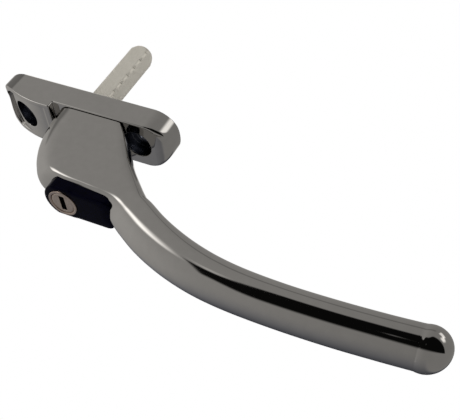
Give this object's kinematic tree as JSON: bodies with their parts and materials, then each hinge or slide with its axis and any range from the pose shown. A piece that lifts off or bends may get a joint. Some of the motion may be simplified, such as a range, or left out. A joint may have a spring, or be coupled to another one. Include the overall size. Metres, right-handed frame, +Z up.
{
  "type": "locking window handle",
  "caption": "Locking in-line window handle: oval base plate, cranked lever with ball end, push button with key cylinder, square spindle.",
  "frame": {"origin": "spindle axis at the mounting face of the base plate, midway between the two fixing holes", "axes": "+Z up the base plate with the lever hanging towards -Z, -Y out into the room, +Y along the spindle into the sash"},
  "size_m": [0.0172, 0.0886, 0.1692],
  "materials": {
    "plated_casting": "polished dark chrome plate on zinc casting",
    "satin_steel": "zinc plated, satin",
    "spring_steel": "bright wire",
    "black_gloss": "gloss black moulding",
    "nylon_black": "black nylon",
    "lock_metal": "nickel plated brass, satin",
    "brass": "plain turned brass"
  },
  "bodies": {
    "base": {"base_plate": "plated_casting", "retainer_plate": "satin_steel", "hub_bush": "nylon_black", "glide_washer": "nylon_black", "detent_ball": "spring_steel", "detent_spring": "spring_steel"},
    "handle": {"handle_lever": "plated_casting", "spindle_carrier": "satin_steel", "thrust_washer": "satin_steel", "wave_washer": "spring_steel", "circlip": "spring_steel", "spindle": "satin_steel", "spindle_pin": "spring_steel", "bolt_guide_bush": "brass", "button_stop_pin": "spring_steel", "button_return_spring": "spring_steel"},
    "button": {"lock_button": "black_gloss", "lock_barrel": "lock_metal", "locking_bolt": "satin_steel"},
    "key_core": {"key_plug": "lock_metal", "lock_wafers": "brass", "wafer_springs": "spring_steel", "plug_cam": "satin_steel", "plug_screw": "satin_steel"}
  },
  "joints": [
    {"name": "handle_turn", "type": "hinge", "parent": "base", "child": "handle", "pos_m": [0, 0, 0], "axis": [0, -1, 0], "range_deg": [-90, 90]},
    {"name": "button_press", "type": "slide", "parent": "handle", "child": "button", "axis": [0, 1, 0], "range_m": [0, 0.003], "stiffness_N_per_m": 400, "springref_m": -0.005},
    {"name": "key_turn", "type": "hinge", "parent": "button", "child": "key_core", "pos_m": [0, -0.0396, -0.01287], "axis": [0, -1, 0], "range_deg": [0, 90]}
  ]
}
